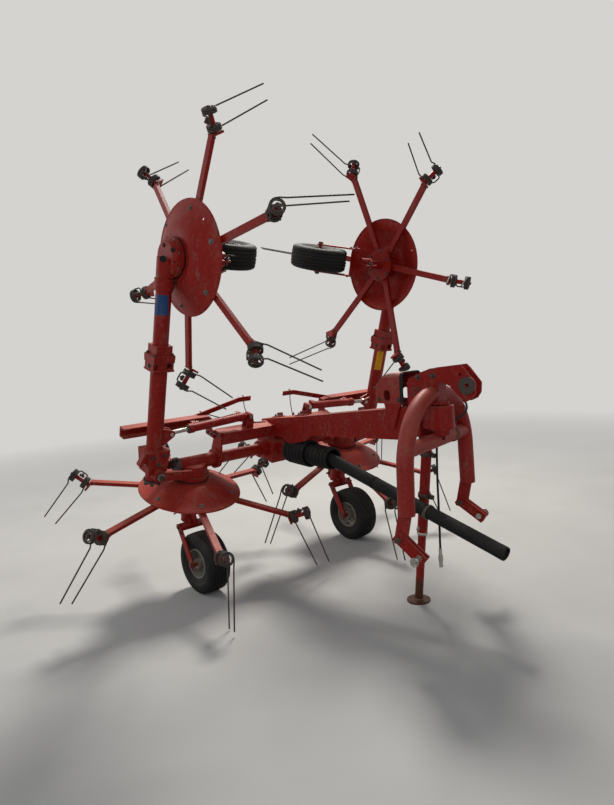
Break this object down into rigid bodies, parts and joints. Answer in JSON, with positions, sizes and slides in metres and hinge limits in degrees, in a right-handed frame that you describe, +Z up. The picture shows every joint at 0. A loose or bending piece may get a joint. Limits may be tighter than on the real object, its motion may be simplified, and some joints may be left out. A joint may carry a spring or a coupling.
{
  "type": "folded hay tedder",
  "caption": "Mounted hay tedder folded for storage: four tined rotors with spring tines, two upright booms, support wheels, pivoting headstock and parking stand.",
  "frame": {"origin": "on the ground, under the middle of the folded machine's length and width", "axes": "+Z up, -Y the front with the headstock, +X the machine's left-hand side; stands on its two inner wheels and its parking stand"},
  "size_m": [3.2998, 2.9819, 3.0822],
  "materials": {
    "red_paint": "faded",
    "tyre": "worn",
    "rim": "dirty",
    "spring_steel": "rusty",
    "dark_iron": "oily",
    "steel": "worn",
    "guard_plastic": "worn",
    "rusty_steel": "rusty",
    "hose_rubber": "worn"
  },
  "bodies": {
    "frame": {"cross_beam": "red_paint", "center_boom": "red_paint", "centre_gearbox": "red_paint", "pto_guard": "guard_plastic", "rear_rails": "red_paint", "stand_sleeve": "red_paint", "fold_pins": "steel", "clutch_frame": "dark_iron", "gear_pot_right": "red_paint", "gear_pot_left": "red_paint", "wheel_leg_inner_right": "red_paint", "wheel_leg_inner_left": "red_paint", "pto_shaft": "guard_plastic", "cylinder_pins": "steel", "head_cover": "red_paint"},
    "headstock": {"headstock_arch": "red_paint", "link_brackets": "red_paint", "link_pins": "steel", "swing_head": "red_paint", "top_link_arm": "red_paint", "hose_long": "hose_rubber", "hose_coupler": "steel"},
    "stand": {"stand_leg": "rusty_steel"},
    "rotor_inner_right": {"disc_inner_right": "red_paint", "arms_inner_right": "red_paint", "tines_inner_right": "spring_steel"},
    "boom_right": {"boom_socket_right": "red_paint", "boom_tube_right": "red_paint", "boom_clutch_right": "dark_iron"},
    "head_right": {"neck_right": "red_paint", "wheel_leg_outer_right": "red_paint"},
    "rotor_outer_right": {"disc_outer_right": "red_paint", "arms_outer_right": "red_paint", "tines_outer_right": "spring_steel"},
    "wheel_inner_right": {"tyre_inner_right": "tyre", "rim_inner_right": "rim"},
    "wheel_outer_right": {"tyre_outer_right": "tyre", "rim_outer_right": "rim"},
    "barrel_right": {"barrel_right": "red_paint", "hose_barrel_right": "hose_rubber"},
    "rod_right": {"rod_right": "steel"},
    "rotor_inner_left": {"disc_inner_left": "red_paint", "arms_inner_left": "red_paint", "tines_inner_left": "spring_steel"},
    "boom_left": {"boom_socket_left": "red_paint", "boom_tube_left": "red_paint", "boom_clutch_left": "dark_iron"},
    "head_left": {"neck_left": "red_paint", "wheel_leg_outer_left": "red_paint"},
    "rotor_outer_left": {"disc_outer_left": "red_paint", "arms_outer_left": "red_paint", "tines_outer_left": "spring_steel"},
    "wheel_inner_left": {"tyre_inner_left": "tyre", "rim_inner_left": "rim"},
    "wheel_outer_left": {"tyre_outer_left": "tyre", "rim_outer_left": "rim"},
    "barrel_left": {"barrel_left": "red_paint", "hose_barrel_left": "hose_rubber"},
    "rod_left": {"rod_left": "steel"}
  },
  "joints": [
    {"name": "headstock_swing", "type": "hinge", "parent": "frame", "child": "headstock", "pos_m": [0, -1.104, 1.015], "axis": [0, 0, 1], "range_deg": [-27, 3]},
    {"name": "stand_slide", "type": "slide", "parent": "frame", "child": "stand", "axis": [0, -0.1219, 0.9925], "range_m": [0, 0.25]},
    {"name": "boom_fold_right", "type": "hinge", "parent": "frame", "child": "boom_right", "pos_m": [-0.98, 0.39207, 0.85682], "axis": [0, -0.9553, -0.2957], "range_deg": [0, 90]},
    {"name": "head_swivel_right", "type": "hinge", "parent": "boom_right", "child": "head_right", "pos_m": [-0.98, 0.17473, 1.55895], "axis": [0, 0.2957, -0.9553], "range_deg": [0, 180]},
    {"name": "rotor_inner_right_spin", "type": "hinge", "parent": "frame", "child": "rotor_inner_right", "pos_m": [-0.6955, 0.466, 0.618], "axis": [0, -0.2957, 0.9553], "continuous": true},
    {"name": "rotor_outer_right_spin", "type": "hinge", "parent": "head_right", "child": "rotor_outer_right", "pos_m": [-0.77, 0.00056, 2.12161], "axis": [-1, 0, 0], "continuous": true},
    {"name": "wheel_inner_right_spin", "type": "hinge", "parent": "frame", "child": "wheel_inner_right", "pos_m": [-0.6955, 0.33621, 0.202], "axis": [1, 0, 0], "continuous": true},
    {"name": "wheel_outer_right_spin", "type": "hinge", "parent": "head_right", "child": "wheel_outer_right", "pos_m": [-0.41098, 0.23651, 2.19465], "axis": [0, -0.2957, 0.9553], "continuous": true},
    {"name": "barrel_tilt_right", "type": "hinge", "parent": "frame", "child": "barrel_right", "pos_m": [-0.27, 0.31075, 1.11952], "axis": [0, -0.9553, -0.2957], "range_deg": [0, 7.17]},
    {"name": "rod_slide_right", "type": "slide", "parent": "barrel_right", "child": "rod_right", "axis": [-0.9984, 0.0169, -0.0547], "range_m": [0, 0.35518]},
    {"name": "boom_fold_left", "type": "hinge", "parent": "frame", "child": "boom_left", "pos_m": [0.98, 0.39207, 0.85682], "axis": [0, 0.9553, 0.2957], "range_deg": [0, 90]},
    {"name": "head_swivel_left", "type": "hinge", "parent": "boom_left", "child": "head_left", "pos_m": [0.98, 0.17473, 1.55895], "axis": [0, -0.2957, 0.9553], "range_deg": [0, 180]},
    {"name": "rotor_inner_left_spin", "type": "hinge", "parent": "frame", "child": "rotor_inner_left", "pos_m": [0.6955, 0.466, 0.618], "axis": [0, -0.2957, 0.9553], "continuous": true},
    {"name": "rotor_outer_left_spin", "type": "hinge", "parent": "head_left", "child": "rotor_outer_left", "pos_m": [0.77, 0.00056, 2.12161], "axis": [1, 0, 0], "continuous": true},
    {"name": "wheel_inner_left_spin", "type": "hinge", "parent": "frame", "child": "wheel_inner_left", "pos_m": [0.6955, 0.33621, 0.202], "axis": [1, 0, 0], "continuous": true},
    {"name": "wheel_outer_left_spin", "type": "hinge", "parent": "head_left", "child": "wheel_outer_left", "pos_m": [0.41098, 0.23651, 2.19465], "axis": [0, -0.2957, 0.9553], "continuous": true},
    {"name": "barrel_tilt_left", "type": "hinge", "parent": "frame", "child": "barrel_left", "pos_m": [0.27, 0.31075, 1.11952], "axis": [0, 0.9553, 0.2957], "range_deg": [0, 7.17]},
    {"name": "rod_slide_left", "type": "slide", "parent": "barrel_left", "child": "rod_left", "axis": [0.9984, 0.0169, -0.0547], "range_m": [0, 0.35518]}
  ],
  "couplings": [
    {"joint": "barrel_tilt_right", "follows": "boom_fold_right", "ratio": 0.079485},
    {"joint": "rod_slide_right", "follows": "boom_fold_right", "m_per_rad": 0.22599},
    {"joint": "barrel_tilt_left", "follows": "boom_fold_left", "ratio": 0.079485},
    {"joint": "rod_slide_left", "follows": "boom_fold_left", "m_per_rad": 0.22599},
    {"joint": "rotor_inner_left_spin", "follows": "rotor_inner_right_spin", "ratio": -1}
  ]
}
